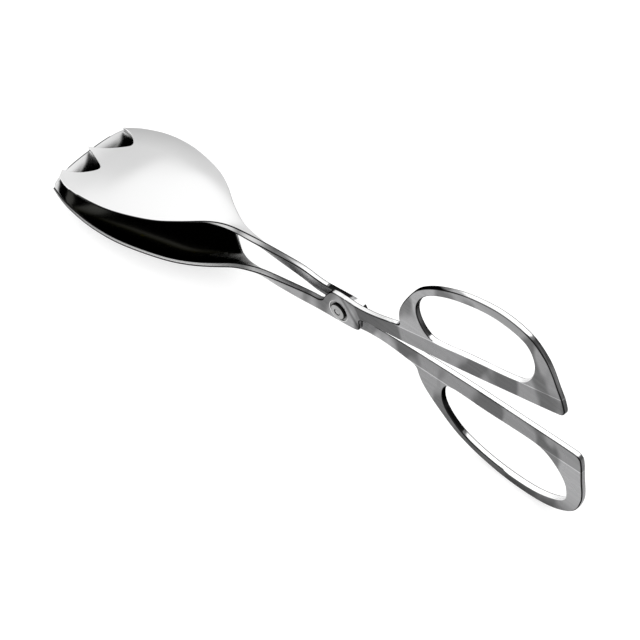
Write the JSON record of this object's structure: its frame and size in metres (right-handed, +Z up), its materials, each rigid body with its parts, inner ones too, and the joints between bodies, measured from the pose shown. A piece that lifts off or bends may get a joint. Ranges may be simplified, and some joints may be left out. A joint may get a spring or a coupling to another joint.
{
  "type": "scissor serving tongs",
  "caption": "Scissor-action serving tongs in polished steel sheet: a spoon jaw and a pointed fork jaw on crossed arms with finger loops, turning on a flat rivet.",
  "frame": {"origin": "centre of the closed tongs' outline on the table plane, under the arms", "axes": "+Z up from the table, +X along the tongs from the jaws to the finger loops, +Y along the rivet axis from the spoon arm's plate to the fork arm's plate"},
  "size_m": [0.2352, 0.0426, 0.0941],
  "materials": {
    "spoon_arm_steel": "polished",
    "fork_arm_steel": "polished",
    "rivet_steel": "polished",
    "washer_steel": "satin"
  },
  "bodies": {
    "spoon_body": {"spoon_arm": "spoon_arm_steel", "rivet": "rivet_steel", "washer": "washer_steel"},
    "fork_body": {"fork_arm": "fork_arm_steel"}
  },
  "joints": [
    {"name": "rivet_hinge", "type": "hinge", "parent": "spoon_body", "child": "fork_body", "pos_m": [0.00783, 0, 0.03089], "axis": [0, 1, 0], "range_deg": [0, 30]}
  ]
}
